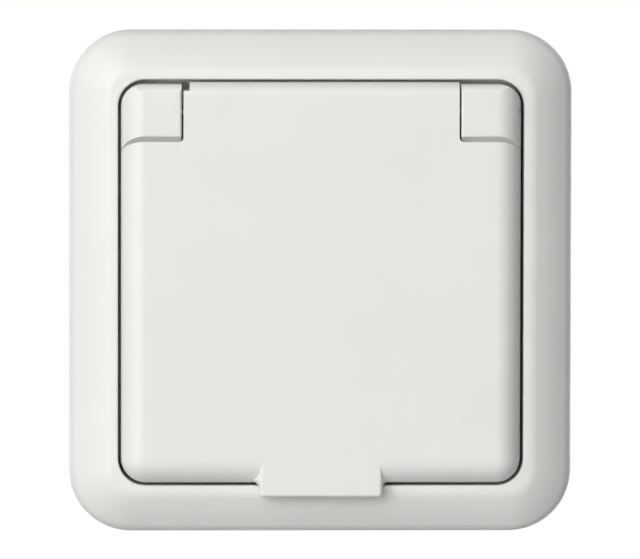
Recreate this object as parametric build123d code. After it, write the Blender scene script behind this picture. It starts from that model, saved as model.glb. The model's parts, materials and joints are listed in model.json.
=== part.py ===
from build123d import *
from math import asin, cos, radians, sin, sqrt, tan
import os

# All sizes are in millimetres
# The socket is drawn lying on its back: X right, Y up the wall, Z out of the wall, wall face at Z 0

# Wall box screws
BOX_SCREW_PITCH = 60.0
BOX_SLOT_LENGTH = 6.6
BOX_SLOT_WIDTH = 3.5
BOX_SCREW_CLEAR = 4.2

# Support ring and rivets
RING_MARGIN = 5.5
RING_THICKNESS = 1.2
RING_CHAMFER = 9.0
RING_HOLE_GAP = 1.4
RIVET_INSET = 2.6
RIVET_RADIUS = 1.2
RIVET_FIT = 0.02
RIVET_HEAD_RADIUS = 2.1
RIVET_HEAD_HEIGHT = 0.7
RIVET_LENGTH = 6.0
RIVET_BOSS_RADIUS = 2.6
RIVET_BOSS_DEPTH = 9.0
RIVET_ANGLE = 45.0

# Cover frame
FRAME_RIM = 8.0
FRAME_CORNER = 10.2
FRAME_CREST = 11.0
FRAME_BACK = 0.4
FRAME_WALL = 1.8
CREST_INSET = 1.5
CREST_ROUND = 3.0
RIM_TILT = 22.0
RIM_BULGE = 20.0
RIM_ROUND = 3.0
REAR_TAPER = 5.0
LIP_ROUND = 0.35
OPENING_RISE = 0.2
OPENING_CORNER = 4.4
INNER_WALL = 1.6
LEDGE_LOW = 1.4
LEDGE_THICKNESS = 1.4
LEDGE_WIDTH = 3.5
LEDGE_CORNER = 4.0
FRAME_RIB_PLACE = 18.0
FRAME_RIB_THICKNESS = 1.6

# Soft seals
FRAME_SEAL_HEIGHT = 2.4
FRAME_SEAL_WIDTH = 2.5
RING_SEAL_GAP = 1.1
COVER_SEAL_THICKNESS = 0.8
COVER_SEAL_WIDTH = 2.75
LID_SEAL_HEIGHT = 1.3
LID_SEAL_GAP = 0.2
SEAL_FIT = 0.1

# Lid
FACE_RISE = 3.0
LID_SIDE_GAP = 0.5
LID_BOTTOM_GAP = 0.45
LID_TOP_GAP = 0.4
LID_CORNER = 4.0
LID_WALL = 2.0
LID_BACK_GAP = 0.5
EDGE_ROUND = 3.75
TONGUE_ROUND = 2.0
CORNER_NOTCH_WIDTH = 1.0
CORNER_NOTCH_HEIGHT = 1.3
NOTCH_WALL = 1.6
SEAL_RIB_THICKNESS = 0.8
SEAL_RIB_HEIGHT = 0.8

# Grip tab
TAB_WIDTH = 19.9
TAB_REACH = 2.1
TAB_THICKNESS = 2.1
TAB_EDGE_ROUND = 0.5
TAB_CORNER = 0.6
TAB_FLARE = 1.5
TAB_FLARE_SINK = 0.03
TAB_FLARE_FALL = 1.3

# Hinge
HINGE_DROP = 4.9
HINGE_DEPTH = 3.0
LUG_WIDTH = 9.8
LUG_SIDE_GAP = 0.3
LUG_TOP_DROP = 0.32
LUG_RUNNING_GAP = 0.25
LUG_FACET_HEIGHT = 0.9
LUG_FACET_DEPTH = 2.7
LUG_CORNER = 3.6
LUG_TOP_ROUND = 1.3
LUG_LOWER_ROUND = 0.4
LUG_INNER_ROUND = 0.4
NOTCH_DROP = 4.67
NOTCH_SLOPE = 0.55
NOTCH_SLOPE_DEPTH = 4.0
NOTCH_CORNER = 0.7
TAIL_DEPTH = 0.8
PIN_RADIUS = 1.0
PIN_SEAT_FIT = 0.01
PIN_RUNNING_FIT = 0.06
PIN_SEAT_DEPTH = 7.0
PIN_RECESS = 1.0
KNUCKLE_RADIUS = 2.7
KNUCKLE_GAP = 3.0
KNUCKLE_WIDTH = 2.5

# Lid spring
SPRING_WIRE = 0.6
SPRING_PIN_GAP = 0.2
SPRING_PITCH = 2.0
SPRING_TURNS = 6.5
SPRING_LEG = 4.6
SPRING_POCKET_GAP = 0.35
SPRING_REST_GAP = 0.05
SPRING_REST_NEAR = 3.4
SPRING_REST_FAR = 5.0
SPRING_REST_WIDTH = 3.0

# Socket cover
COVER_SIDE_GAP = 0.25
COVER_THICKNESS = 1.8
COVER_CORNER = 4.0
LOCATOR_THICKNESS = 1.4
LOCATOR_GAP = 0.3
LOCATOR_DEPTH = 1.6
HINGE_SPACE = 6.2
WELL_WALL = 1.8
WELL_DEPTH = 17.5
WELL_LEAD_IN = 0.7
WELL_FLOOR = 2.6
COLLAR_OUTER_ROUND = 0.4
PIN_PITCH = 19.0
PIN_HOLE_RADIUS = 2.75
PIN_HOLE_CHAMFER = 0.8
GUIDE_WIDTH = 5.0
GUIDE_HEIGHT = 2.0
GUIDE_RIM_GAP = 3.5
GUIDE_ROUND = 0.6
SCREW_BOSS_RADIUS = 4.2
SCREW_BOSS_HEIGHT = 0.8
EARTH_SLOT_GAP = 0.3

# Cover screw
SCREW_RADIUS = 1.7
SCREW_HOLE_GAP = 0.3
SCREW_THREAD_FIT = 0.05
SCREW_HEAD_RADIUS = 3.3
SCREW_HEAD_EDGE = 0.3
SCREW_REACH = 10.0
SCREW_SLOT_WIDTH = 0.9
SCREW_SLOT_DEPTH = 0.9

# Socket base
CUP_GAP = 2.0
CUP_WALL = 2.6
CUP_ROUND = 2.0
BASE_SIDE_WALL = 1.6
BASE_CHAMFER = 9.0
BASE_EDGE = 0.8
STRIP_GAUGE_LENGTH = 12.0
STRIP_GAUGE_WIDTH = 2.6
STRIP_GAUGE_DEPTH = 0.8
BASE_BACK_WALL = 1.8
CHAMBER_DEPTH = 16.8
CONTACT_COVER_THICKNESS = 2.0
CONTACT_COVER_GAP = 0.2
CONTACT_COVER_HOLE = 2.9
SLEEVE_CHAMBER_RADIUS = 4.3
SLEEVE_CHAMBER_GAP = 1.0

# Wire terminals, drawn for the right side and turned about Z for the others
TERMINAL_OFFSET = 4.1
TERMINAL_ROOM = 6.8
TERMINAL_WIDTH = 12.8
ENTRY_OFFSET = 3.2
ENTRY_PLACE_Y = 4.4
ENTRY_SIZE = 3.0
ENTRY_FUNNEL = 0.6
BUTTON_OFFSET = 3.4
BUTTON_THICKNESS = 2.8
BUTTON_WIDTH = 3.8
BUTTON_PROUD = 1.6
BUTTON_GAP = 0.2
BUTTON_FLANGE = 0.6
BUTTON_FLANGE_HEIGHT = 1.5
BUTTON_SPRING_GAP = 0.15
BUTTON_EDGE_ROUND = 0.4

# Contacts
CONTACT_SHEET = 0.6
SLEEVE_BORE = 2.45
SLEEVE_MOUTH_BORE = 3.1
SLEEVE_TOP_GAP = 0.3
SLEEVE_FLARE = 1.8
SLEEVE_LENGTH = 13.2
SLEEVE_SLIT = 1.2
SLEEVE_FOOT = 2.0
CONTACT_WEB_WIDTH = 4.8
CONTACT_PLATE_GAP = 0.6
CONTACT_SIDE_GAP = 0.8
CONTACT_PLATE_TOP_GAP = 1.6

# Clamp springs
CLAMP_SHEET = 0.4
CLAMP_SIDE_GAP = 0.9
CLAMP_WALL_GAP = 0.1
CLAMP_TOP_GAP = 1.6
CLAMP_BEND = 0.8
CLAMP_TIP_GAP = 0.7
CLAMP_TIP_DEPTH = 8.6

# Earth strap
STRAP_SHEET = 1.0
STRAP_WIDTH = 6.4
STRAP_BEND = 1.2
CLIP_LEG_INSET = 1.9
CLIP_BOW = 1.4
CLIP_BOW_LOW = 3.0
CLIP_BOW_MID = 7.5
CLIP_BOW_HIGH = 11.6
STRAP_TONGUE_GAP = 2.3

# Levels along Z
FACE = FRAME_CREST + FACE_RISE
LEDGE_TOP = LEDGE_LOW + LEDGE_THICKNESS
COVER_LOW = LEDGE_TOP + COVER_SEAL_THICKNESS
COVER_TOP = COVER_LOW + COVER_THICKNESS
LID_BACK = COVER_TOP + LID_BACK_GAP
LID_INSIDE = FACE - LID_WALL
COLLAR_TOP = LID_INSIDE - LID_SEAL_HEIGHT - LID_SEAL_GAP
FLOOR_FRONT = COLLAR_TOP - WELL_DEPTH
FLOOR_BACK = FLOOR_FRONT - WELL_FLOOR
STRAP_FRONT = FLOOR_BACK - SCREW_BOSS_HEIGHT
STRAP_MIDDLE = STRAP_FRONT - STRAP_SHEET / 2
STRAP_BACK = STRAP_FRONT - STRAP_SHEET
CHAMBER_FRONT = STRAP_BACK - CONTACT_COVER_THICKNESS
CHAMBER_BACK = CHAMBER_FRONT - CHAMBER_DEPTH
BASE_BACK = CHAMBER_BACK - BASE_BACK_WALL

# Sizes that follow from the wall box's screws: the ring, its seal, the frame and its opening
RING_SIZE = BOX_SCREW_PITCH + 2 * RING_MARGIN
FRAME_SEAL_INNER = RING_SIZE + 2 * RING_SEAL_GAP
FRAME_SEAL_SIZE = FRAME_SEAL_INNER + 2 * FRAME_SEAL_WIDTH
FRAME_SIZE = FRAME_SEAL_SIZE + 2 * SEAL_FIT + 2 * FRAME_WALL
OPENING_WIDTH = FRAME_SIZE - 2 * FRAME_RIM
OPENING_HEIGHT = OPENING_WIDTH + OPENING_RISE
LEDGE_OPENING = OPENING_WIDTH - 2 * LEDGE_WIDTH

# Lid, hinge and well places
LID_WIDTH = OPENING_WIDTH - 2 * LID_SIDE_GAP
LID_BOTTOM = LID_BOTTOM_GAP - OPENING_HEIGHT / 2
LID_TOP = OPENING_HEIGHT / 2 - LID_TOP_GAP
HINGE_Y = LID_TOP - HINGE_DROP
HINGE_Z = FACE - HINGE_DEPTH
LUG_DROP = NOTCH_DROP - LUG_RUNNING_GAP * sqrt(1 + NOTCH_SLOPE**2)
LUG_INNER = LID_WIDTH / 2 - LUG_WIDTH
NOTCH_INNER = LUG_INNER - LUG_SIDE_GAP
LUG_TOP = LID_TOP - LUG_TOP_DROP
SPRING_RADIUS = PIN_RADIUS + SPRING_PIN_GAP + SPRING_WIRE / 2
SPRING_LENGTH = SPRING_PITCH * SPRING_TURNS
KNUCKLE_INNER = SPRING_LENGTH / 2 + KNUCKLE_GAP
WELL_OUTER = HINGE_Y - HINGE_SPACE
WELL_RADIUS = WELL_OUTER - WELL_WALL
RING_HOLE_RADIUS = WELL_OUTER + RING_HOLE_GAP
RIVET_CIRCLE = RING_HOLE_RADIUS + RIVET_INSET
CUP_INNER = WELL_OUTER + CUP_GAP
CUP_RADIUS = CUP_INNER + CUP_WALL
CLIP_LEG_Y = WELL_RADIUS - CLIP_LEG_INSET
CLIP_BOW_Y = CLIP_LEG_Y - CLIP_BOW

# Terminal places, counted out from the plug's pins
PIN_X = PIN_PITCH / 2
TERMINAL_INNER = PIN_X + TERMINAL_OFFSET
TERMINAL_OUTER = TERMINAL_INNER + TERMINAL_ROOM
ENTRY_PLACE_X = TERMINAL_INNER + ENTRY_OFFSET
BUTTON_X = TERMINAL_INNER + BUTTON_OFFSET
CONTACT_PLATE_X = TERMINAL_INNER + CONTACT_PLATE_GAP
CONTACT_PLATE_WIDTH = TERMINAL_WIDTH - 2 * CONTACT_SIDE_GAP
CLAMP_TIP_X = CONTACT_PLATE_X + CONTACT_SHEET + CLAMP_TIP_GAP
CLAMP_WIDTH = TERMINAL_WIDTH - 2 * CLAMP_SIDE_GAP
BASE_SIZE = 2 * (TERMINAL_OUTER + BASE_SIDE_WALL)


def plate(width, height, corner, low, high):
    return Pos(0, 0, low) * extrude(RectangleRounded(width, height, corner), high - low)


def disc(radius, low, high, x=0.0, y=0.0):
    return Pos(x, y, (low + high) / 2) * Cylinder(radius, high - low)


def tube(outer, inner, low, high):
    return disc(outer, low, high) - disc(inner, low, high)


def block(x_low, x_high, y_low, y_high, z_low, z_high):
    middle = Pos((x_low + x_high) / 2, (y_low + y_high) / 2, (z_low + z_high) / 2)
    return middle * Box(x_high - x_low, y_high - y_low, z_high - z_low)


def rod(radius, x_low, x_high):
    return Pos((x_low + x_high) / 2, HINGE_Y, HINGE_Z) * Rot(0, 90, 0) * Cylinder(radius, x_high - x_low)


def front_edges(shape):
    return shape.faces().sort_by(Axis.Z)[-1].edges()


def field(y_low, y_high, z_low, z_high):
    return Pos((y_low + y_high) / 2, (z_low + z_high) / 2) * Rectangle(y_high - y_low, z_high - z_low)


def across(profile, half_width):
    return extrude(Plane.YZ * profile, half_width, both=True)


def both_sides(shape):
    return shape + mirror(shape, Plane.YZ)


# Cover frame: a domed shell with an inner wall and a ledge for the cover
frame_reach = FRAME_SIZE / 2
lip_half = OPENING_WIDTH / 2
crest_half = lip_half + CREST_INSET
corner_centre = frame_reach - FRAME_CORNER
bulge_x = crest_half - RIM_BULGE * sin(radians(RIM_TILT))
bulge_z = FRAME_CREST - RIM_BULGE * cos(radians(RIM_TILT))
rear_lean = radians(REAR_TAPER)
edge_turn = radians(90) + rear_lean - asin((frame_reach - bulge_x) / RIM_BULGE)
edge_excess = RIM_ROUND * (tan(edge_turn / 2) * sin(rear_lean) + cos(rear_lean) - 1)
edge_reach = frame_reach + edge_excess


def rim_point(x, inset):
    return (x, bulge_z + sqrt((RIM_BULGE - inset) ** 2 - (x - bulge_x) ** 2))


# Section through one side of the frame: flat lip, bulged slope to the outer edge, then a wall that leans in
def rim_section(inset, outer, lean):
    crest = rim_point(crest_half, inset)
    middle = rim_point((crest_half + outer) / 2, inset)
    edge = rim_point(outer, inset)
    foot = (outer - (edge[1] - FRAME_BACK) * tan(lean), FRAME_BACK)
    lip = (lip_half, FRAME_CREST - inset)
    walls = Polyline(edge, foot, (lip_half, FRAME_BACK), lip, crest)
    return make_face([walls, ThreePointArc(crest, middle, edge)])


def domed(section, top):
    side = extrude(Plane.XZ * section, corner_centre, both=True)
    corner_axis = Axis((corner_centre, corner_centre, 0), (0, 0, 1))
    corner = revolve(Pos(0, corner_centre, 0) * (Plane.XZ * section), corner_axis, 90)
    half = side + corner + Rot(0, 0, 90) * (side + corner)
    middle = plate(2 * lip_half, 2 * lip_half, lip_half - corner_centre, FRAME_BACK, top)
    return middle + half + Rot(0, 0, 180) * half


def box_screw_places(radius, low, high):
    reach = BOX_SCREW_PITCH / 2
    across_x = disc(radius, low, high, reach) + disc(radius, low, high, -reach)
    across_y = disc(radius, low, high, 0, reach) + disc(radius, low, high, 0, -reach)
    return across_x + across_y


frame_skin = rim_section(0, edge_reach, rear_lean)
frame_skin = fillet(frame_skin.vertices().sort_by_distance(rim_point(crest_half, 0))[:1], CREST_ROUND)
frame_skin = fillet(frame_skin.vertices().sort_by_distance(rim_point(edge_reach, 0))[:1], RIM_ROUND)
frame_shell = domed(frame_skin, FRAME_CREST)
core_width = OPENING_WIDTH + 2 * INNER_WALL
core_height = OPENING_HEIGHT + 2 * INNER_WALL
frame_core = plate(core_width, core_height, OPENING_CORNER + INNER_WALL, LEDGE_LOW, FRAME_CREST)
rib_low = FRAME_RIB_PLACE - FRAME_RIB_THICKNESS / 2
rib_high = FRAME_RIB_PLACE + FRAME_RIB_THICKNESS / 2
rib_x = both_sides(block(rib_low, rib_high, -frame_reach, frame_reach, FRAME_SEAL_HEIGHT, FRAME_CREST))
frame_inside = rim_section(FRAME_WALL, frame_reach - FRAME_WALL, 0)
frame_hollow = domed(frame_inside, FRAME_CREST - FRAME_WALL)
frame_cavity = frame_hollow - frame_core - rib_x - Rot(0, 0, 90) * rib_x
frame_opening = plate(OPENING_WIDTH, OPENING_HEIGHT, OPENING_CORNER, LEDGE_TOP, FRAME_CREST)
ledge_opening = plate(LEDGE_OPENING, LEDGE_OPENING, LEDGE_CORNER, LEDGE_LOW, LEDGE_TOP)
cover_frame = frame_shell - frame_opening
cover_frame = fillet(cover_frame.faces().sort_by(Axis.Z)[-1].inner_wires()[0].edges(), LIP_ROUND)
cover_frame = cover_frame - frame_cavity - ledge_opening
cover_frame = cover_frame - box_screw_places(BOX_SCREW_CLEAR, LEDGE_LOW, LEDGE_TOP)

# Frame seal: soft ring inside the frame's outer wall
seal_corner = FRAME_CORNER - FRAME_WALL - SEAL_FIT
seal_hole_corner = seal_corner - FRAME_SEAL_WIDTH
seal_hole = plate(FRAME_SEAL_INNER, FRAME_SEAL_INNER, seal_hole_corner, 0, FRAME_SEAL_HEIGHT)
frame_seal = plate(FRAME_SEAL_SIZE, FRAME_SEAL_SIZE, seal_corner, 0, FRAME_SEAL_HEIGHT) - seal_hole

# Cover seal: soft ring on the frame's ledge
cover_width = OPENING_WIDTH - 2 * COVER_SIDE_GAP
cover_height = OPENING_HEIGHT - 2 * COVER_SIDE_GAP
seal_width = OPENING_WIDTH - 2 * SEAL_FIT
seal_height = OPENING_HEIGHT - 2 * SEAL_FIT
gasket_corner = OPENING_CORNER - SEAL_FIT
gasket_hole_width = seal_width - 2 * COVER_SEAL_WIDTH
gasket_hole_height = seal_height - 2 * COVER_SEAL_WIDTH
gasket_hole_corner = gasket_corner - COVER_SEAL_WIDTH
gasket_hole = plate(gasket_hole_width, gasket_hole_height, gasket_hole_corner, LEDGE_TOP, COVER_LOW)
cover_seal = plate(seal_width, seal_height, gasket_corner, LEDGE_TOP, COVER_LOW) - gasket_hole


# Sloped lower side of a lug or notch, a set drop below the hinge at the lid's face
def sloped_point(drop, depth):
    return (HINGE_Y - drop - NOTCH_SLOPE * depth, FACE - depth)


def sloped_foot(drop, level):
    return (sloped_point(drop, NOTCH_SLOPE_DEPTH)[0], level)


# Hinge lugs
lug_outer = LID_WIDTH / 2
lug_plan = plate(2 * lug_outer, 2 * LUG_TOP, LUG_CORNER, COVER_TOP, FACE)
lug_sides = block(-lug_outer, lug_outer, -frame_reach, frame_reach, COVER_TOP, FACE)
lug_sides = fillet(front_edges(lug_sides).filter_by(Axis.Y), EDGE_ROUND)
lug_head = block(-lug_outer, lug_outer, -LUG_TOP, LUG_TOP, COVER_TOP, FACE)
lug_head = fillet(front_edges(lug_head).sort_by(Axis.Y)[-1:], LUG_TOP_ROUND)
lug_edge = (HINGE_Y - NOTCH_DROP + LUG_FACET_HEIGHT, FACE)
lug_bend = sloped_point(LUG_DROP, NOTCH_SLOPE_DEPTH)
lug_front = Polyline(lug_edge, sloped_point(LUG_DROP, LUG_FACET_DEPTH), lug_bend)
lug_foot = sloped_foot(LUG_DROP, COVER_TOP)
lug_rear = Polyline(lug_bend, lug_foot, (LUG_TOP, COVER_TOP), (LUG_TOP, FACE), lug_edge)
lug_profile = make_face([lug_front, lug_rear])
lug_profile = fillet(lug_profile.vertices().sort_by_distance(lug_edge)[:1], LUG_LOWER_ROUND)
lug_blank = Pos(LUG_INNER, 0, 0) * extrude(Plane.YZ * lug_profile, LUG_WIDTH)
lug_inside = lug_blank.faces().sort_by(Axis.X)[0].edges()
lug_inside = lug_inside.filter_by_position(Axis.Z, COVER_TOP + LUG_INNER_ROUND, FACE)
lug_inside = lug_inside.filter_by_position(Axis.Y, 0, LUG_TOP - LUG_INNER_ROUND)
lug_right = fillet(lug_inside, LUG_INNER_ROUND) & lug_plan & lug_sides & lug_head
lugs = both_sides(lug_right)

# Socket cover: plate, plug well, collar and hinge lugs
cover_body = plate(cover_width, cover_height, COVER_CORNER, COVER_LOW, COVER_TOP)
locator_size = LEDGE_OPENING - 2 * LOCATOR_GAP
locator_inner = locator_size - 2 * LOCATOR_THICKNESS
locator_corner = LEDGE_CORNER - LOCATOR_GAP
locator_inner_corner = locator_corner - LOCATOR_THICKNESS
locator_low = COVER_LOW - LOCATOR_DEPTH
locator = plate(locator_size, locator_size, locator_corner, locator_low, COVER_LOW)
locator = locator - plate(locator_inner, locator_inner, locator_inner_corner, locator_low, COVER_LOW)
locator = locator - box_screw_places(BOX_SCREW_CLEAR, locator_low, COVER_LOW)
collar = disc(WELL_OUTER, FLOOR_BACK, COLLAR_TOP)
collar = fillet(front_edges(collar), COLLAR_OUTER_ROUND)
well = disc(WELL_RADIUS, FLOOR_FRONT, COLLAR_TOP)
mouth_cone = Cone(WELL_RADIUS, WELL_RADIUS + WELL_LEAD_IN, WELL_LEAD_IN)
well_mouth = Pos(0, 0, COLLAR_TOP - WELL_LEAD_IN / 2) * mouth_cone
guide_half = GUIDE_WIDTH / 2
guide_tip = WELL_RADIUS - GUIDE_HEIGHT
guide_root = WELL_RADIUS + WELL_WALL / 2
guide_top = COLLAR_TOP - GUIDE_RIM_GAP
guide = block(guide_tip, guide_root, -guide_half, guide_half, FLOOR_FRONT, guide_top)
guide = fillet(guide.faces().sort_by(Axis.X)[0].edges().filter_by(Axis.Z), GUIDE_ROUND)
guide = fillet(front_edges(guide).sort_by(Axis.X)[:1], GUIDE_ROUND)
screw_boss = disc(SCREW_BOSS_RADIUS, STRAP_FRONT, FLOOR_BACK)
rest_x = -SPRING_LENGTH / 2
rest_half = SPRING_REST_WIDTH / 2
rest_near = HINGE_Y - SPRING_REST_NEAR
rest_far = HINGE_Y - SPRING_REST_FAR
rest_top = HINGE_Z - SPRING_RADIUS - SPRING_WIRE / 2 - SPRING_REST_GAP
spring_rest = block(rest_x - rest_half, rest_x + rest_half, rest_far, rest_near, COVER_TOP, rest_top)
socket_cover = cover_body + locator + collar - well - well_mouth
socket_cover = socket_cover + both_sides(guide) + screw_boss + spring_rest + lugs

# Openings in the floor of the well
pin_holes = both_sides(disc(PIN_HOLE_RADIUS, FLOOR_BACK, FLOOR_FRONT, PIN_X))
funnel_middle = FLOOR_FRONT - PIN_HOLE_CHAMFER / 2
funnel_radius = PIN_HOLE_RADIUS + PIN_HOLE_CHAMFER
funnel = Pos(PIN_X, 0, funnel_middle) * Cone(PIN_HOLE_RADIUS, funnel_radius, PIN_HOLE_CHAMFER)
screw_hole = disc(SCREW_RADIUS + SCREW_HOLE_GAP, STRAP_FRONT, FLOOR_FRONT)
sink_radius = SCREW_HEAD_RADIUS + SCREW_HOLE_GAP
sink_depth = SCREW_HEAD_RADIUS - SCREW_RADIUS
sink_edge = disc(sink_radius, FLOOR_FRONT - SCREW_HEAD_EDGE, FLOOR_FRONT)
sink_middle = FLOOR_FRONT - SCREW_HEAD_EDGE - sink_depth / 2
sink = Pos(0, 0, sink_middle) * Cone(SCREW_RADIUS + SCREW_HOLE_GAP, sink_radius, sink_depth)
slot_half = STRAP_WIDTH / 2 + EARTH_SLOT_GAP
slot_near = CLIP_LEG_Y - STRAP_SHEET / 2 - EARTH_SLOT_GAP
slot_far = CLIP_LEG_Y + STRAP_SHEET / 2 + EARTH_SLOT_GAP
earth_slot = block(-slot_half, slot_half, slot_near, slot_far, FLOOR_BACK, FLOOR_FRONT)
earth_slots = earth_slot + mirror(earth_slot, Plane.XZ)
pin_seat = PIN_RADIUS + PIN_SEAT_FIT
seat_left = rod(pin_seat, -LUG_INNER - PIN_SEAT_DEPTH, -LUG_INNER)
seat_right = rod(pin_seat, LUG_INNER, lug_outer)
socket_cover = socket_cover - pin_holes - both_sides(funnel) - screw_hole - sink_edge - sink
socket_cover = socket_cover - earth_slots - seat_left - seat_right

# Hinge pin, slid in from the right
hinge_pin = rod(PIN_RADIUS, -LUG_INNER - PIN_SEAT_DEPTH, lug_outer - PIN_RECESS)


# Lid: a tray with rounded edges, notched round the lugs
def lid_blank(inset, back):
    width = LID_WIDTH - 2 * inset
    low = LID_BOTTOM + inset
    height = LID_TOP + FRAME_SIZE / 2 - low
    blank = Pos(0, low + height / 2, 0) * plate(width, height, LID_CORNER - inset, back, FACE - inset)
    blank = fillet(front_edges(blank), EDGE_ROUND - inset)
    return blank & block(-width, width, low, LID_TOP - inset, back, FACE)


def lid_notches(wall):
    drop = NOTCH_DROP + wall
    front = sloped_point(drop, -NOTCH_SLOPE_DEPTH)
    bend = sloped_point(drop, NOTCH_SLOPE_DEPTH)
    rear = sloped_foot(drop, LID_BACK)
    outline = make_face(Polyline(front, bend, rear, (frame_reach, LID_BACK), (frame_reach, front[1]), front))
    notch = Pos(NOTCH_INNER - wall, 0, 0) * extrude(Plane.YZ * outline, LID_WIDTH)
    corner = notch.faces().sort_by(Axis.X)[0].edges().filter_by_position(Axis.Y, 0, HINGE_Y - NOTCH_DROP / 2)
    return both_sides(fillet(corner, NOTCH_CORNER + wall))


lid_outer = lid_blank(0, LID_BACK) - lid_notches(0)
tongue_edge = front_edges(lid_outer).sort_by(Axis.Y)[-1:]
lid_outer = fillet(tongue_edge, TONGUE_ROUND)
lid_cavity = lid_blank(LID_WALL, LID_BACK)
lid_cavity = lid_cavity - lid_notches(NOTCH_WALL)
tail_cut = across(field(HINGE_Y, FRAME_SIZE / 2, LID_BACK, HINGE_Z - TAIL_DEPTH), NOTCH_INNER)
knuckle_inner = both_sides(rod(KNUCKLE_RADIUS, KNUCKLE_INNER, KNUCKLE_INNER + KNUCKLE_WIDTH))
knuckle_outer = both_sides(rod(KNUCKLE_RADIUS, NOTCH_INNER - NOTCH_WALL, NOTCH_INNER))
pocket_radius = SPRING_RADIUS + SPRING_WIRE / 2 + SPRING_POCKET_GAP
spring_pocket = rod(pocket_radius, -KNUCKLE_INNER, KNUCKLE_INNER)
leg_start = SPRING_LENGTH / 2 - SPRING_WIRE
leg_end = HINGE_Y - SPRING_LEG - SPRING_POCKET_GAP
leg_pocket = block(leg_start, KNUCKLE_INNER, leg_end, HINGE_Y, HINGE_Z, HINGE_Z + pocket_radius)
seal_rib_low = LID_INSIDE - SEAL_RIB_HEIGHT
lid_seal_inner = WELL_RADIUS + SEAL_FIT
lid_seal_outer = WELL_OUTER - SEAL_FIT
rib_inner_edge = lid_seal_inner - SEAL_FIT
rib_outer_edge = lid_seal_outer + SEAL_FIT
seal_rib_inner = tube(rib_inner_edge, rib_inner_edge - SEAL_RIB_THICKNESS, seal_rib_low, LID_INSIDE)
seal_rib_outer = tube(rib_outer_edge + SEAL_RIB_THICKNESS, rib_outer_edge, seal_rib_low, LID_INSIDE)
notch_x = -NOTCH_INNER + CORNER_NOTCH_WIDTH
corner_notch = block(-NOTCH_INNER, notch_x, LID_TOP - CORNER_NOTCH_HEIGHT, LID_TOP, LID_BACK, FACE)

# Grip tab, level with the lid's face, with flared roots
tab_end = LID_BOTTOM - TAB_REACH
tab_half = TAB_WIDTH / 2
tab_low = FACE - TAB_THICKNESS
round_y = LID_BOTTOM + EDGE_ROUND
round_z = FACE - EDGE_ROUND
tab = block(-tab_half, tab_half, tab_end, round_y, tab_low, FACE)
tab = fillet(tab.faces().sort_by(Axis.Y)[0].edges().filter_by(Axis.Z), TAB_CORNER)
tab = fillet(front_edges(tab).sort_by(Axis.Y)[:-1], TAB_EDGE_ROUND)
flare_centre_x = tab_half + TAB_FLARE
flare_centre_z = FACE + TAB_FLARE - TAB_FLARE_SINK
flare_bend = TAB_FLARE / sqrt(2)
flare_start = (flare_centre_x, round_y, flare_centre_z - TAB_FLARE)
flare_middle = (flare_centre_x - flare_bend, round_y, flare_centre_z - flare_bend)
flare_end = (tab_half, round_y, flare_centre_z)
flare_top = (tab_half - TAB_FLARE, round_y, flare_centre_z)
flare_root = (tab_half - TAB_FLARE, round_y, flare_centre_z - TAB_FLARE)
flare_curve = ThreePointArc(flare_start, flare_middle, flare_end)
flare_lines = Polyline(flare_end, flare_top, flare_root, flare_start)
flare_axis = Axis((0, round_y, round_z), (1, 0, 0))
flare = revolve(make_face([flare_curve, flare_lines]), flare_axis, 90)
flare_high = FACE - TAB_EDGE_ROUND
flare_low = flare_high - TAB_FLARE_FALL * TAB_THICKNESS
flare_foot = (tab_half + TAB_THICKNESS, flare_low)
flare_sides = Polyline((0, flare_high), (tab_half, flare_high), flare_foot, (0, flare_low), close=True)
flare = flare & extrude(Plane.XZ * make_face(flare_sides), -tab_end)
flare = flare & block(0, LID_WIDTH, tab_end, round_y, tab_low, FACE)
lid = lid_outer - lid_cavity - tail_cut + knuckle_inner + knuckle_outer
lid = lid + seal_rib_inner + seal_rib_outer + tab + both_sides(flare)
lid = lid - spring_pocket - leg_pocket - corner_notch
lid = lid - rod(PIN_RADIUS + PIN_RUNNING_FIT, -NOTCH_INNER, NOTCH_INNER)

# Lid seal: soft ring that meets the collar
lid_seal = tube(lid_seal_outer, lid_seal_inner, COLLAR_TOP + LID_SEAL_GAP, LID_INSIDE)

# Lid spring: coil round the pin with one leg behind the lid and one on the cover's side
coil_plane = Plane((-SPRING_LENGTH / 2, HINGE_Y, HINGE_Z), x_dir=(0, 0, -1), z_dir=(1, 0, 0))
coil = coil_plane * Helix(SPRING_PITCH, SPRING_LENGTH, SPRING_RADIUS)
leg_rear = Line(coil @ 0 - (coil % 0) * SPRING_LEG, coil @ 0)
leg_lid = Line(coil @ 1, coil @ 1 + (coil % 1) * SPRING_LEG)
spring_path = Wire([leg_rear.edge(), coil.edge(), leg_lid.edge()])
spring_start = Plane(leg_rear @ 0, z_dir=leg_rear % 0)
lid_spring = sweep(spring_start * Circle(SPRING_WIRE / 2), spring_path, is_frenet=True)

# Cover screw with a sunk, slotted head
screw_tip = STRAP_FRONT - SCREW_REACH
head_edge = disc(SCREW_HEAD_RADIUS, FLOOR_FRONT - SCREW_HEAD_EDGE, FLOOR_FRONT)
head_cone = Pos(0, 0, sink_middle) * Cone(SCREW_RADIUS, SCREW_HEAD_RADIUS, sink_depth)
screw_slot_low = FLOOR_FRONT - SCREW_SLOT_DEPTH
slot_reach = SCREW_HEAD_RADIUS
slot_side = SCREW_SLOT_WIDTH / 2
screw_slot = block(-slot_reach, slot_reach, -slot_side, slot_side, screw_slot_low, FLOOR_FRONT)
screw_shank = disc(SCREW_RADIUS, screw_tip, FLOOR_FRONT - SCREW_HEAD_EDGE)
cover_screw = head_edge + head_cone + screw_shank - screw_slot

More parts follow.
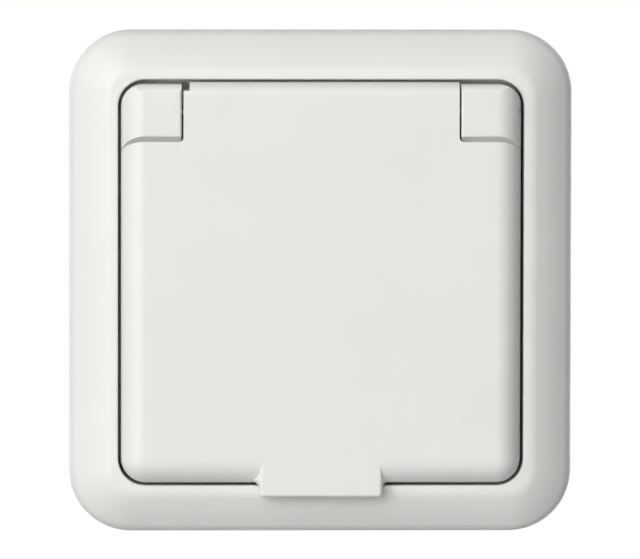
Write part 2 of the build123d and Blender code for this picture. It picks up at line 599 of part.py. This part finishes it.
# Support ring with slots for the wall box's screws
ring_half = RING_SIZE / 2
support_ring = block(-ring_half, ring_half, -ring_half, ring_half, 0, RING_THICKNESS)
support_ring = chamfer(support_ring.edges().filter_by(Axis.Z), RING_CHAMFER)
support_ring = support_ring - disc(RING_HOLE_RADIUS, 0, RING_THICKNESS)
slot_outline = SlotOverall(BOX_SLOT_LENGTH, BOX_SLOT_WIDTH)
box_slot = Pos(BOX_SCREW_PITCH / 2, 0, 0) * extrude(slot_outline, RING_THICKNESS)
box_slots = both_sides(box_slot)
support_ring = support_ring - box_slots - Rot(0, 0, 90) * box_slots


def four_corners(shape):
    right = Rot(0, 0, RIVET_ANGLE) * shape + Rot(0, 0, -RIVET_ANGLE) * shape
    return right + Rot(0, 0, 180) * right


support_ring = support_ring - four_corners(disc(RIVET_RADIUS + RIVET_FIT, 0, RING_THICKNESS, RIVET_CIRCLE))

# Rivets
rivet_head = disc(RIVET_HEAD_RADIUS, RING_THICKNESS, RING_THICKNESS + RIVET_HEAD_HEIGHT, RIVET_CIRCLE)
rivet_head = fillet(front_edges(rivet_head), RIVET_HEAD_HEIGHT / 2)
ring_rivets = four_corners(rivet_head + disc(RIVET_RADIUS, -RIVET_LENGTH, RING_THICKNESS, RIVET_CIRCLE))


# Wire terminals: three alike, on the right, on the left and below
def at_right(shape):
    return shape


def at_left(shape):
    return Rot(0, 0, 180) * shape


def at_bottom(shape):
    return Rot(0, 0, -90) * shape


def at_terminals(shape):
    return at_right(shape) + at_left(shape) + at_bottom(shape)


def terminal_space(half_width, low, high):
    return block(TERMINAL_INNER, TERMINAL_OUTER, -half_width, half_width, low, high)


terminal_room = terminal_space(TERMINAL_WIDTH / 2, CHAMBER_BACK, CHAMBER_FRONT)


def entry(size, low, high):
    upper = Pos(ENTRY_PLACE_X, ENTRY_PLACE_Y, (low + high) / 2) * Box(size, size, high - low)
    return upper + mirror(upper, Plane.XZ)


def button_block(margin, low, high):
    half_thickness = BUTTON_THICKNESS / 2 + margin
    half_width = BUTTON_WIDTH / 2 + margin
    return block(BUTTON_X - half_thickness, BUTTON_X + half_thickness, -half_width, half_width, low, high)


wire_entries = entry(ENTRY_SIZE, BASE_BACK, CHAMBER_BACK)
wire_entries = wire_entries + entry(ENTRY_SIZE + 2 * ENTRY_FUNNEL, BASE_BACK, BASE_BACK + ENTRY_FUNNEL)
button_hole = button_block(BUTTON_GAP, BASE_BACK, CHAMBER_BACK)

# Socket base: cup for the well, block with chambers for the contacts and terminals
base_half = BASE_SIZE / 2
base_block = block(-base_half, base_half, -base_half, base_half, BASE_BACK, CHAMBER_FRONT)
base_block = chamfer(base_block.edges().filter_by(Axis.Z), BASE_CHAMFER)
base_block = chamfer(base_block.faces().sort_by(Axis.Z)[0].edges(), BASE_EDGE)
cup = disc(CUP_RADIUS, CHAMBER_FRONT - CUP_WALL, 0)
cup = fillet(cup.faces().sort_by(Axis.Z)[0].edges(), CUP_ROUND)
gauge_half = STRIP_GAUGE_WIDTH / 2
gauge_floor = base_half - STRIP_GAUGE_DEPTH
gauge_top = BASE_BACK + STRIP_GAUGE_LENGTH
strip_gauge = block(-gauge_half, gauge_half, gauge_floor, base_half, BASE_BACK, gauge_top)
rivet_boss = disc(RIVET_BOSS_RADIUS, -RIVET_BOSS_DEPTH, 0, RIVET_CIRCLE)
rivet_hole = disc(RIVET_RADIUS + RIVET_FIT, -RIVET_LENGTH, 0, RIVET_CIRCLE)
sleeve_top = CHAMBER_FRONT - SLEEVE_TOP_GAP
sleeve_low = sleeve_top - SLEEVE_LENGTH
web_low = sleeve_low - CONTACT_SHEET
sleeve_room_low = web_low - SLEEVE_CHAMBER_GAP
sleeve_room = disc(SLEEVE_CHAMBER_RADIUS, sleeve_room_low, CHAMBER_FRONT, PIN_X)
web_half = CONTACT_WEB_WIDTH / 2 + CONTACT_COVER_GAP
web_room = block(PIN_X, TERMINAL_INNER, -web_half, web_half, sleeve_room_low, CHAMBER_FRONT)
screw_room = disc(SCREW_RADIUS + SCREW_HOLE_GAP, screw_tip - SCREW_RADIUS, CHAMBER_FRONT)
socket_base = base_block + cup + four_corners(rivet_boss) - strip_gauge
socket_base = socket_base - disc(CUP_INNER, CHAMBER_FRONT, 0) - four_corners(rivet_hole)
socket_base = socket_base - at_terminals(terminal_room + wire_entries + button_hole)
socket_base = socket_base - both_sides(sleeve_room + web_room) - screw_room

# Contact cover: insulating plate over the chambers
tongue_half = STRAP_WIDTH / 2 + EARTH_SLOT_GAP
tongue_near = CONTACT_PLATE_X - EARTH_SLOT_GAP
tongue_far = CONTACT_PLATE_X + CONTACT_SHEET + EARTH_SLOT_GAP
tongue_slot = block(tongue_near, tongue_far, -tongue_half, tongue_half, CHAMBER_FRONT, STRAP_BACK)
cover_pin_hole = disc(CONTACT_COVER_HOLE, CHAMBER_FRONT, STRAP_BACK, PIN_X)
contact_cover = disc(CUP_INNER - CONTACT_COVER_GAP, CHAMBER_FRONT, STRAP_BACK) - both_sides(cover_pin_hole)
contact_cover = contact_cover - disc(SCREW_RADIUS + SCREW_HOLE_GAP, CHAMBER_FRONT, STRAP_BACK)
contact_cover = contact_cover - at_bottom(tongue_slot)

# Contacts: slit sleeve, web and terminal plate of one sheet
sleeve_waist = sleeve_top - SLEEVE_FLARE
sleeve_skin = SLEEVE_BORE + CONTACT_SHEET
mouth_skin = SLEEVE_MOUTH_BORE + CONTACT_SHEET
bore_foot = (SLEEVE_BORE, sleeve_low)
bore_waist = (SLEEVE_BORE, sleeve_waist)
bore_mouth = (SLEEVE_MOUTH_BORE, sleeve_top)
skin_mouth = (mouth_skin, sleeve_top)
skin_waist = (sleeve_skin, sleeve_waist)
skin_foot = (sleeve_skin, sleeve_low)
sleeve_line = Polyline(bore_foot, bore_waist, bore_mouth, skin_mouth, skin_waist, skin_foot, close=True)
sleeve = revolve(Plane.XZ * make_face(sleeve_line), Axis.Z)
slit_half = SLEEVE_SLIT / 2
slit_reach = SLEEVE_CHAMBER_RADIUS
slit_low = sleeve_low + SLEEVE_FOOT
sleeve = sleeve - block(-slit_half, slit_half, -slit_reach, slit_reach, slit_low, sleeve_top)
sleeve_floor = disc(sleeve_skin, web_low, sleeve_low)
sleeve = Pos(PIN_X, 0, 0) * (sleeve + sleeve_floor)
web_side = CONTACT_WEB_WIDTH / 2
plate_side = CONTACT_PLATE_WIDTH / 2
plate_far = CONTACT_PLATE_X + CONTACT_SHEET
contact_web = block(PIN_X, plate_far, -web_side, web_side, web_low, sleeve_low)
plate_top = CHAMBER_FRONT - CONTACT_PLATE_TOP_GAP
contact_plate = block(CONTACT_PLATE_X, plate_far, -plate_side, plate_side, web_low, plate_top)
contact_right = sleeve + contact_web + contact_plate
contact_left = at_left(contact_right)

# Clamp springs: a folded strip in each terminal
clamp_x = TERMINAL_OUTER - CLAMP_WALL_GAP - CLAMP_SHEET / 2
clamp_foot = (clamp_x, CHAMBER_BACK + CLAMP_WALL_GAP)
clamp_peak = (clamp_x, CHAMBER_FRONT - CLAMP_TOP_GAP)
clamp_tip_z = CHAMBER_FRONT - CLAMP_TIP_DEPTH
clamp_tip = (CLAMP_TIP_X, clamp_tip_z)
clamp_line = FilletPolyline(clamp_foot, clamp_peak, clamp_tip, radius=CLAMP_BEND)
clamp_strip = trace(clamp_line, CLAMP_SHEET)
clamp_spring = extrude(Plane.XZ * clamp_strip, CLAMP_WIDTH / 2, both=True)

# Release buttons
button_top = clamp_tip_z - CLAMP_SHEET - BUTTON_SPRING_GAP
flange_low = CHAMBER_BACK + BUTTON_GAP
button = button_block(0, BASE_BACK - BUTTON_PROUD, button_top)
button = fillet(button.faces().sort_by(Axis.Z)[0].edges(), BUTTON_EDGE_ROUND)
button = button + button_block(BUTTON_FLANGE, flange_low, flange_low + BUTTON_FLANGE_HEIGHT)

# Earth strap: two sprung clips, the run behind the well's floor and a tongue to the lower terminal
clip_tip = (CLIP_LEG_Y, FLOOR_FRONT + CLIP_BOW_HIGH)
clip_bow = (CLIP_BOW_Y, FLOOR_FRONT + CLIP_BOW_MID)
clip_knee = (CLIP_LEG_Y, FLOOR_FRONT + CLIP_BOW_LOW)
strap_end = (CLIP_LEG_Y, STRAP_MIDDLE)
strap_middle = (0, STRAP_MIDDLE)
strap_half_line = FilletPolyline(clip_tip, clip_bow, clip_knee, strap_end, strap_middle, radius=STRAP_BEND)
strap_half = across(trace(strap_half_line, STRAP_SHEET), STRAP_WIDTH / 2)
tongue_side = STRAP_WIDTH / 2
tongue_low = CHAMBER_BACK + STRAP_TONGUE_GAP
tongue = at_bottom(block(CONTACT_PLATE_X, plate_far, -tongue_side, tongue_side, tongue_low, STRAP_MIDDLE))
strap_hole = disc(SCREW_RADIUS + SCREW_THREAD_FIT, STRAP_BACK, STRAP_FRONT)
earth_strap = strap_half + mirror(strap_half, Plane.XZ) + tongue - strap_hole

pieces = {
    "cover_frame": cover_frame,
    "frame_seal": frame_seal,
    "cover_seal": cover_seal,
    "socket_cover": socket_cover,
    "lid": lid,
    "lid_seal": lid_seal,
    "hinge_pin": hinge_pin,
    "lid_spring": lid_spring,
    "cover_screw": cover_screw,
    "support_ring": support_ring,
    "ring_rivets": ring_rivets,
    "socket_base": socket_base,
    "contact_cover": contact_cover,
    "contact_left": contact_left,
    "contact_right": contact_right,
    "earth_strap": earth_strap,
    "clamp_spring_left": at_left(clamp_spring),
    "clamp_spring_right": at_right(clamp_spring),
    "clamp_spring_earth": at_bottom(clamp_spring),
    "release_button_left": at_left(button),
    "release_button_right": at_right(button),
    "release_button_earth": at_bottom(button),
}

# Stand the socket up: front towards -Y, Z up
os.makedirs("parts", exist_ok=True)
for name, piece in pieces.items():
    export_step(Rot(90, 0, 0) * piece, f"parts/{name}.step")
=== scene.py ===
import json
import math

import bpy
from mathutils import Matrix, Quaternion, Vector


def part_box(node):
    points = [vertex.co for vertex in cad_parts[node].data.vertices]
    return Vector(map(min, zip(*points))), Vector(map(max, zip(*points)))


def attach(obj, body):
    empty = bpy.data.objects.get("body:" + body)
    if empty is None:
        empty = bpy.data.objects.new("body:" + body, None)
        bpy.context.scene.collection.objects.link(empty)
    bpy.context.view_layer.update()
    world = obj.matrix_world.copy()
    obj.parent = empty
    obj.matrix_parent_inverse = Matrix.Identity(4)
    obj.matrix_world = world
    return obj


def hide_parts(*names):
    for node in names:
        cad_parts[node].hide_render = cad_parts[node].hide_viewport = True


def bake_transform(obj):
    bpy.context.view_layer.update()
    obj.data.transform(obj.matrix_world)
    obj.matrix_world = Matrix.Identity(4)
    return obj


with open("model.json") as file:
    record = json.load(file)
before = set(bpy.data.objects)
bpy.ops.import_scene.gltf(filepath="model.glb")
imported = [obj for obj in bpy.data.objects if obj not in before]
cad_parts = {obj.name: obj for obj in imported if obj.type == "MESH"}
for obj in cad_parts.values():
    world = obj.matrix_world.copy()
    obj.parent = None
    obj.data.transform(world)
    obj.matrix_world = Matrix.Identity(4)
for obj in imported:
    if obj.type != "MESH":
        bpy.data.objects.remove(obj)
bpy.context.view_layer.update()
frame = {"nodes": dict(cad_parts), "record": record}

MM = 0.001

# Photograph: its size, and where the socket's frame stands in it
PHOTO_WIDTH = 640
PHOTO_HEIGHT = 559
FRAME_WIDTH_PX = 503.85
FRAME_CENTRE_PX = (320.9, 282.85)
VIEW_AZIMUTH = math.radians(-1.4)
VIEW_ELEVATION = math.radians(4.2)
VIEW_ROLL = math.radians(0.1)
VIEW_DISTANCE = 1.6
SENSOR_WIDTH = 36.0

# Part of a noise pattern's range that is spread over a material's colours and roughness
NOISE_LOW = 0.3
NOISE_HIGH = 0.7


# Small helpers for node materials
def add(material, kind, values=None, **settings):
    made = material.node_tree.nodes.new(kind)
    for name, value in settings.items():
        setattr(made, name, value)
    for name, value in (values or {}).items():
        made.inputs[name].default_value = value
    return made


def join(material, output, socket):
    material.node_tree.links.new(output, socket)


def surface(name, **values):
    material = bpy.data.materials.new(name)
    material.use_nodes = True
    shader = material.node_tree.nodes["Principled BSDF"]
    for socket, value in values.items():
        shader.inputs[socket.replace("_", " ")].default_value = value
    return material, shader


def place(material, stretch=(1, 1, 1)):
    coordinates = add(material, "ShaderNodeTexCoord")
    mapping = add(material, "ShaderNodeMapping", {"Scale": stretch})
    join(material, coordinates.outputs["Object"], mapping.inputs["Vector"])
    return mapping.outputs["Vector"]


def noise(material, grain, detail=2.0, stretch=(1, 1, 1)):
    texture = add(material, "ShaderNodeTexNoise", {"Scale": 1 / grain, "Detail": detail})
    join(material, place(material, stretch), texture.inputs["Vector"])
    return texture.outputs["Fac"]


def cells(material, grain):
    texture = add(material, "ShaderNodeTexVoronoi", {"Scale": 1 / grain})
    join(material, place(material), texture.inputs["Vector"])
    return texture.outputs["Color"]


def vary_colour(material, shader, factor, one, other):
    ramp = add(material, "ShaderNodeValToRGB")
    ramp.color_ramp.elements[0].position = NOISE_LOW
    ramp.color_ramp.elements[1].position = NOISE_HIGH
    ramp.color_ramp.elements[0].color = (*one, 1)
    ramp.color_ramp.elements[1].color = (*other, 1)
    join(material, factor, ramp.inputs["Fac"])
    join(material, ramp.outputs["Color"], shader.inputs["Base Color"])


def vary_roughness(material, shader, factor, low, high):
    limits = {"From Min": NOISE_LOW, "From Max": NOISE_HIGH, "To Min": low, "To Max": high}
    spread = add(material, "ShaderNodeMapRange", limits)
    join(material, factor, spread.inputs["Value"])
    join(material, spread.outputs["Result"], shader.inputs["Roughness"])


def raise_bumps(material, shader, heights):
    normal = None
    for height, depth in heights:
        bump = add(material, "ShaderNodeBump", {"Strength": 1.0, "Distance": depth})
        join(material, height, bump.inputs["Height"])
        if normal is not None:
            join(material, normal, bump.inputs["Normal"])
        normal = bump.outputs["Normal"]
    join(material, normal, shader.inputs["Normal"])


# Materials
def white_plastic():
    material, shader = surface("white_plastic", IOR=1.49)
    clouds = noise(material, 14 * MM)
    vary_colour(material, shader, clouds, (0.800, 0.790, 0.768), (0.820, 0.810, 0.788))
    vary_roughness(material, shader, noise(material, 5 * MM, detail=4.0), 0.38, 0.46)
    raise_bumps(material, shader, [
        (noise(material, 1.1 * MM), 0.0006 * MM),
        (noise(material, 0.25 * MM), 0.0004 * MM),
    ])
    return material


def seal_rubber():
    material, shader = surface("seal_rubber", IOR=1.52)
    clouds = noise(material, 3 * MM)
    vary_colour(material, shader, clouds, (0.165, 0.165, 0.170), (0.210, 0.210, 0.213))
    vary_roughness(material, shader, noise(material, 1.5 * MM), 0.62, 0.82)
    raise_bumps(material, shader, [(noise(material, 0.2 * MM, detail=4.0), 0.01 * MM)])
    return material


def zinc_steel():
    material, shader = surface("zinc_steel", Metallic=1.0)
    spangle = cells(material, 1.4 * MM)
    vary_colour(material, shader, spangle, (0.43, 0.435, 0.435), (0.475, 0.475, 0.465))
    vary_roughness(material, shader, noise(material, 2.5 * MM, detail=5.0), 0.38, 0.50)
    raise_bumps(material, shader, [(noise(material, 0.15 * MM, stretch=(12, 1, 1)), 0.002 * MM)])
    return material


def dark_steel():
    material, shader = surface("dark_steel", Metallic=1.0)
    vary_colour(material, shader, noise(material, 4 * MM), (0.11, 0.11, 0.12), (0.18, 0.18, 0.18))
    vary_roughness(material, shader, noise(material, 0.8 * MM, stretch=(0.1, 1, 1)), 0.38, 0.52)
    raise_bumps(material, shader, [(noise(material, 0.1 * MM, stretch=(0.05, 1, 1)), 0.001 * MM)])
    return material


def spring_steel():
    material, shader = surface("spring_steel", Metallic=1.0)
    vary_colour(material, shader, noise(material, 2 * MM), (0.44, 0.44, 0.43), (0.60, 0.59, 0.57))
    vary_roughness(material, shader, noise(material, 0.6 * MM), 0.24, 0.40)
    raise_bumps(material, shader, [(noise(material, 0.08 * MM, stretch=(1, 0.1, 0.1)), 0.001 * MM)])
    return material


def contact_brass():
    material, shader = surface("contact_brass", Metallic=1.0)
    tarnish = noise(material, 2.5 * MM, detail=5.0)
    vary_colour(material, shader, tarnish, (0.66, 0.49, 0.20), (0.80, 0.62, 0.30))
    vary_roughness(material, shader, noise(material, 1.2 * MM, detail=4.0), 0.22, 0.42)
    raise_bumps(material, shader, [(noise(material, 0.1 * MM, stretch=(1, 0.1, 1)), 0.001 * MM)])
    return material


def plated_brass():
    material, shader = surface("plated_brass", Metallic=1.0)
    tarnish = noise(material, 2.5 * MM, detail=5.0)
    vary_colour(material, shader, tarnish, (0.62, 0.60, 0.54), (0.74, 0.72, 0.66))
    vary_roughness(material, shader, noise(material, 1.0 * MM, detail=4.0), 0.20, 0.36)
    raise_bumps(material, shader, [(noise(material, 0.1 * MM, stretch=(1, 0.1, 1)), 0.001 * MM)])
    return material


def base_plastic():
    material, shader = surface("base_plastic", IOR=1.52)
    flecks = noise(material, 0.35 * MM, detail=3.0, stretch=(1, 0.25, 1))
    vary_colour(material, shader, flecks, (0.46, 0.47, 0.48), (0.54, 0.55, 0.56))
    vary_roughness(material, shader, noise(material, 1.2 * MM, detail=4.0), 0.42, 0.62)
    raise_bumps(material, shader, [(noise(material, 0.3 * MM, detail=4.0), 0.006 * MM)])
    return material


def button_plastic():
    material, shader = surface("button_plastic", IOR=1.50)
    vary_colour(material, shader, noise(material, 1.5 * MM), (0.74, 0.74, 0.72), (0.80, 0.80, 0.78))
    vary_roughness(material, shader, noise(material, 0.8 * MM), 0.30, 0.45)
    raise_bumps(material, shader, [(noise(material, 0.2 * MM), 0.003 * MM)])
    return material


finishes = {
    "white_plastic": white_plastic(),
    "seal_rubber": seal_rubber(),
    "zinc_steel": zinc_steel(),
    "dark_steel": dark_steel(),
    "spring_steel": spring_steel(),
    "contact_brass": contact_brass(),
    "plated_brass": plated_brass(),
    "base_plastic": base_plastic(),
    "button_plastic": button_plastic(),
}

for part in frame["record"]["subparts"]:
    piece = frame["nodes"][part["node"]]
    piece.data.materials.clear()
    piece.data.materials.append(finishes[part["material_slot"]])


# Lid spring: a wire coil round the lid's hinge, with a straight leg out from each end
COIL_RADIUS = 1.5 * MM
COIL_WIRE = 0.3 * MM
COIL_PITCH = 2.0 * MM
COIL_TURNS = 6.5
COIL_LEG = 4.6 * MM
COIL_STEPS = 28
WIRE_SIDES = 12


def tube(name, points, radius):
    mesh = bpy.data.meshes.new(name)
    side = Vector((1, 0, 0))
    rings = []
    for here, before, after in zip(points, points[:1] + points[:-1], points[1:] + points[-1:]):
        along = (after - before).normalized()
        side = (side - along * side.dot(along)).normalized()
        across = along.cross(side)
        turns = [2 * math.pi * k / WIRE_SIDES for k in range(WIRE_SIDES)]
        rings.append([
            here + radius * (math.cos(turn) * side + math.sin(turn) * across)
            for turn in turns
        ])
    corners = [corner for loop in rings for corner in loop]
    sides = [
        (i * WIRE_SIDES + k, i * WIRE_SIDES + (k + 1) % WIRE_SIDES,
         (i + 1) * WIRE_SIDES + (k + 1) % WIRE_SIDES, (i + 1) * WIRE_SIDES + k)
        for i in range(len(rings) - 1)
        for k in range(WIRE_SIDES)
    ]
    last = (len(rings) - 1) * WIRE_SIDES
    ends = [tuple(reversed(range(WIRE_SIDES))), tuple(range(last, last + WIRE_SIDES))]
    mesh.from_pydata(corners, [], sides + ends)
    mesh.shade_smooth()
    made = bpy.data.objects.new(name, mesh)
    bpy.context.scene.collection.objects.link(made)
    return made


joints = frame["record"]["behaviour"]["joints"]
hinge = next(joint for joint in joints if joint["name"] == "lid_hinge")
hinge_at = Vector(hinge["pos_m"])
coil_half = COIL_PITCH * COIL_TURNS / 2


def coil_point(turn):
    angle = 2 * math.pi * turn
    across = Vector((0, math.cos(angle), math.sin(angle))) * COIL_RADIUS
    return hinge_at + Vector((COIL_PITCH * turn - coil_half, 0, 0)) + across


coil = [coil_point(step / COIL_STEPS) for step in range(int(COIL_TURNS * COIL_STEPS) + 1)]
rear_leg = coil[0] + (coil[0] - coil[1]).normalized() * COIL_LEG
lid_leg = coil[-1] + (coil[-1] - coil[-2]).normalized() * COIL_LEG
spring = tube("lid_spring_wire", [rear_leg, *coil, lid_leg], COIL_WIRE)
spring.data.materials.append(finishes["spring_steel"])
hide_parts("lid_spring")
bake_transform(spring)


def bending_clamp(node):
    strip = bpy.data.objects.new(f"{node}_strip", frame["nodes"][node].data.copy())
    bpy.context.scene.collection.objects.link(strip)
    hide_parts(node)
    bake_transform(strip)


bending_clamp("clamp_spring_left")
bending_clamp("clamp_spring_right")
bending_clamp("clamp_spring_earth")


# Cover seal: soft ring pressed flat on the frame's ledge, its edges bulging out to the frame's wall
SEAL_WIDTH = 2.75 * MM
SEAL_CORNER = 4.3 * MM
SEAL_BULGE = 0.11 * MM
SEAL_STEPS = 8
CORNER_STEPS = 12


def seal_section(low, high):
    middle = (low + high) / 2
    half = (high - low) / 2
    angles = [math.pi * (step / SEAL_STEPS - 0.5) for step in range(SEAL_STEPS + 1)]
    outer = [(SEAL_BULGE * math.cos(angle), middle + half * math.sin(angle)) for angle in angles]
    inner = [(-SEAL_WIDTH - reach, depth) for reach, depth in reversed(outer)]
    return outer + inner


def ring(name, low, high, corner, section):
    centre = (low + high) / 2
    reach = (high - low) / 2
    turns = [
        (quarter, math.pi / 2 * (quarter + step / CORNER_STEPS))
        for quarter in range(4)
        for step in range(CORNER_STEPS + 1)
    ]
    points = []
    for quarter, turn in turns:
        side_x = 1 if quarter in (0, 3) else -1
        side_z = 1 if quarter in (0, 1) else -1
        corner_x = centre.x + side_x * (reach.x - corner)
        corner_z = centre.z + side_z * (reach.z - corner)
        for offset, depth in section:
            out = corner + offset
            points.append((corner_x + out * math.cos(turn), depth, corner_z + out * math.sin(turn)))
    count = len(section)
    faces = []
    for i in range(len(turns)):
        here = i * count
        there = (i + 1) % len(turns) * count
        for k in range(count):
            after = (k + 1) % count
            faces.append((here + k, here + after, there + after, there + k))
    mesh = bpy.data.meshes.new(name)
    mesh.from_pydata(points, [], faces)
    mesh.shade_smooth()
    made = bpy.data.objects.new(name, mesh)
    bpy.context.scene.collection.objects.link(made)
    return made


seal_low, seal_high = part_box("cover_seal")
section = seal_section(seal_low.y, seal_high.y)
seal = ring("cover_seal_ring", seal_low, seal_high, SEAL_CORNER, section)
seal.data.materials.append(finishes["seal_rubber"])
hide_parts("cover_seal")
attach(seal, "socket")


# Camera square to the socket's front, a little above it and to its left
frame_low, frame_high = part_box("cover_frame")
view_width = (frame_high.x - frame_low.x) * PHOTO_WIDTH / FRAME_WIDTH_PX
pixel = view_width / PHOTO_WIDTH
aim = Vector((
    (PHOTO_WIDTH / 2 - FRAME_CENTRE_PX[0]) * pixel,
    frame_low.y,
    (FRAME_CENTRE_PX[1] - PHOTO_HEIGHT / 2) * pixel,
))
towards_camera = Vector((
    math.sin(VIEW_AZIMUTH) * math.cos(VIEW_ELEVATION),
    -math.cos(VIEW_AZIMUTH) * math.cos(VIEW_ELEVATION),
    math.sin(VIEW_ELEVATION),
))
lens = bpy.data.cameras.new("camera")
lens.sensor_width = SENSOR_WIDTH
lens.lens = SENSOR_WIDTH * VIEW_DISTANCE / view_width
camera = bpy.data.objects.new("camera", lens)
camera.location = aim + towards_camera * VIEW_DISTANCE
upright = (-towards_camera).to_track_quat("-Z", "Y")
camera.rotation_euler = (upright @ Quaternion((0, 0, 1), VIEW_ROLL)).to_euler()
bpy.context.scene.collection.objects.link(camera)
bpy.context.scene.camera = camera


# Light: large soft panels round the socket, each aimed at it
PANEL_DISTANCE = 1.5
WIDE_PANEL = 1.2
MIDDLE_PANEL = 1.0
SMALL_PANEL = 0.8


def panel(name, azimuth, elevation, size, power):
    lamp = bpy.data.lights.new(name, "AREA")
    lamp.shape = "SQUARE"
    lamp.size = size
    lamp.energy = power
    turn = math.radians(azimuth)
    rise = math.radians(elevation)
    direction = Vector((
        math.sin(turn) * math.cos(rise),
        -math.cos(turn) * math.cos(rise),
        math.sin(rise),
    ))
    held = bpy.data.objects.new(name, lamp)
    held.location = direction * PANEL_DISTANCE
    held.rotation_euler = (-direction).to_track_quat("-Z", "Y").to_euler()
    bpy.context.scene.collection.objects.link(held)


panel("key", azimuth=-50, elevation=15, size=WIDE_PANEL, power=4.2)
panel("key_high", azimuth=-48, elevation=32, size=MIDDLE_PANEL, power=3.3)
panel("inner", azimuth=-28, elevation=10, size=SMALL_PANEL, power=9.7)
panel("inner_high", azimuth=-26, elevation=28, size=SMALL_PANEL, power=1.6)
panel("front", azimuth=0, elevation=12, size=SMALL_PANEL, power=2.8)
panel("front_high", azimuth=0, elevation=34, size=SMALL_PANEL, power=3.2)
panel("right", azimuth=60, elevation=5, size=WIDE_PANEL, power=0.3)
panel("rear_left", azimuth=-146, elevation=8, size=WIDE_PANEL, power=5.0)
panel("rear_right", azimuth=146, elevation=8, size=WIDE_PANEL, power=5.0)

# White surroundings to the eye and in reflections, dim as a light
AMBIENT = 0.07
BACKGROUND = 1.0
WHITE = (1, 1, 1, 1)

world = bpy.data.worlds.new("studio")
bpy.context.scene.world = world
world.use_nodes = True
tree = world.node_tree
tree.nodes.clear()
ambient = tree.nodes.new("ShaderNodeBackground")
ambient.inputs["Color"].default_value = WHITE
ambient.inputs["Strength"].default_value = AMBIENT
white = tree.nodes.new("ShaderNodeBackground")
white.inputs["Color"].default_value = WHITE
white.inputs["Strength"].default_value = BACKGROUND
path = tree.nodes.new("ShaderNodeLightPath")
seen = tree.nodes.new("ShaderNodeMath")
seen.operation = "MAXIMUM"
shown = tree.nodes.new("ShaderNodeMath")
shown.operation = "MAXIMUM"
choice = tree.nodes.new("ShaderNodeMixShader")
output = tree.nodes.new("ShaderNodeOutputWorld")
tree.links.new(path.outputs["Is Camera Ray"], seen.inputs[0])
tree.links.new(path.outputs["Is Glossy Ray"], seen.inputs[1])
tree.links.new(seen.outputs["Value"], shown.inputs[0])
tree.links.new(path.outputs["Is Transmission Ray"], shown.inputs[1])
tree.links.new(shown.outputs["Value"], choice.inputs["Fac"])
tree.links.new(ambient.outputs["Background"], choice.inputs[1])
tree.links.new(white.outputs["Background"], choice.inputs[2])
tree.links.new(choice.outputs["Shader"], output.inputs["Surface"])

# Pale floor below the socket, outside the camera's view
FLOOR_DROP = 250 * MM
FLOOR_HALF = 300 * MM
FLOOR_ROUGHNESS = 0.8
FLOOR_GRAIN = 40 * MM
FLOOR_DULL = (0.86, 0.86, 0.86)
FLOOR_PALE = (0.88, 0.88, 0.88)

floor_z = frame_low.z - FLOOR_DROP
signs = [(-1, -1), (1, -1), (1, 1), (-1, 1)]
floor_corners = [(x * FLOOR_HALF, y * FLOOR_HALF, floor_z) for x, y in signs]
sheet = bpy.data.meshes.new("floor")
sheet.from_pydata(floor_corners, [], [(0, 1, 2, 3)])
floor = bpy.data.objects.new("floor", sheet)
bpy.context.scene.collection.objects.link(floor)
floor_material, floor_shader = surface("floor", Roughness=FLOOR_ROUGHNESS)
clouds = noise(floor_material, FLOOR_GRAIN)
vary_colour(floor_material, floor_shader, clouds, FLOOR_DULL, FLOOR_PALE)
sheet.materials.append(floor_material)

view = bpy.context.scene.view_settings
view.view_transform = "Standard"
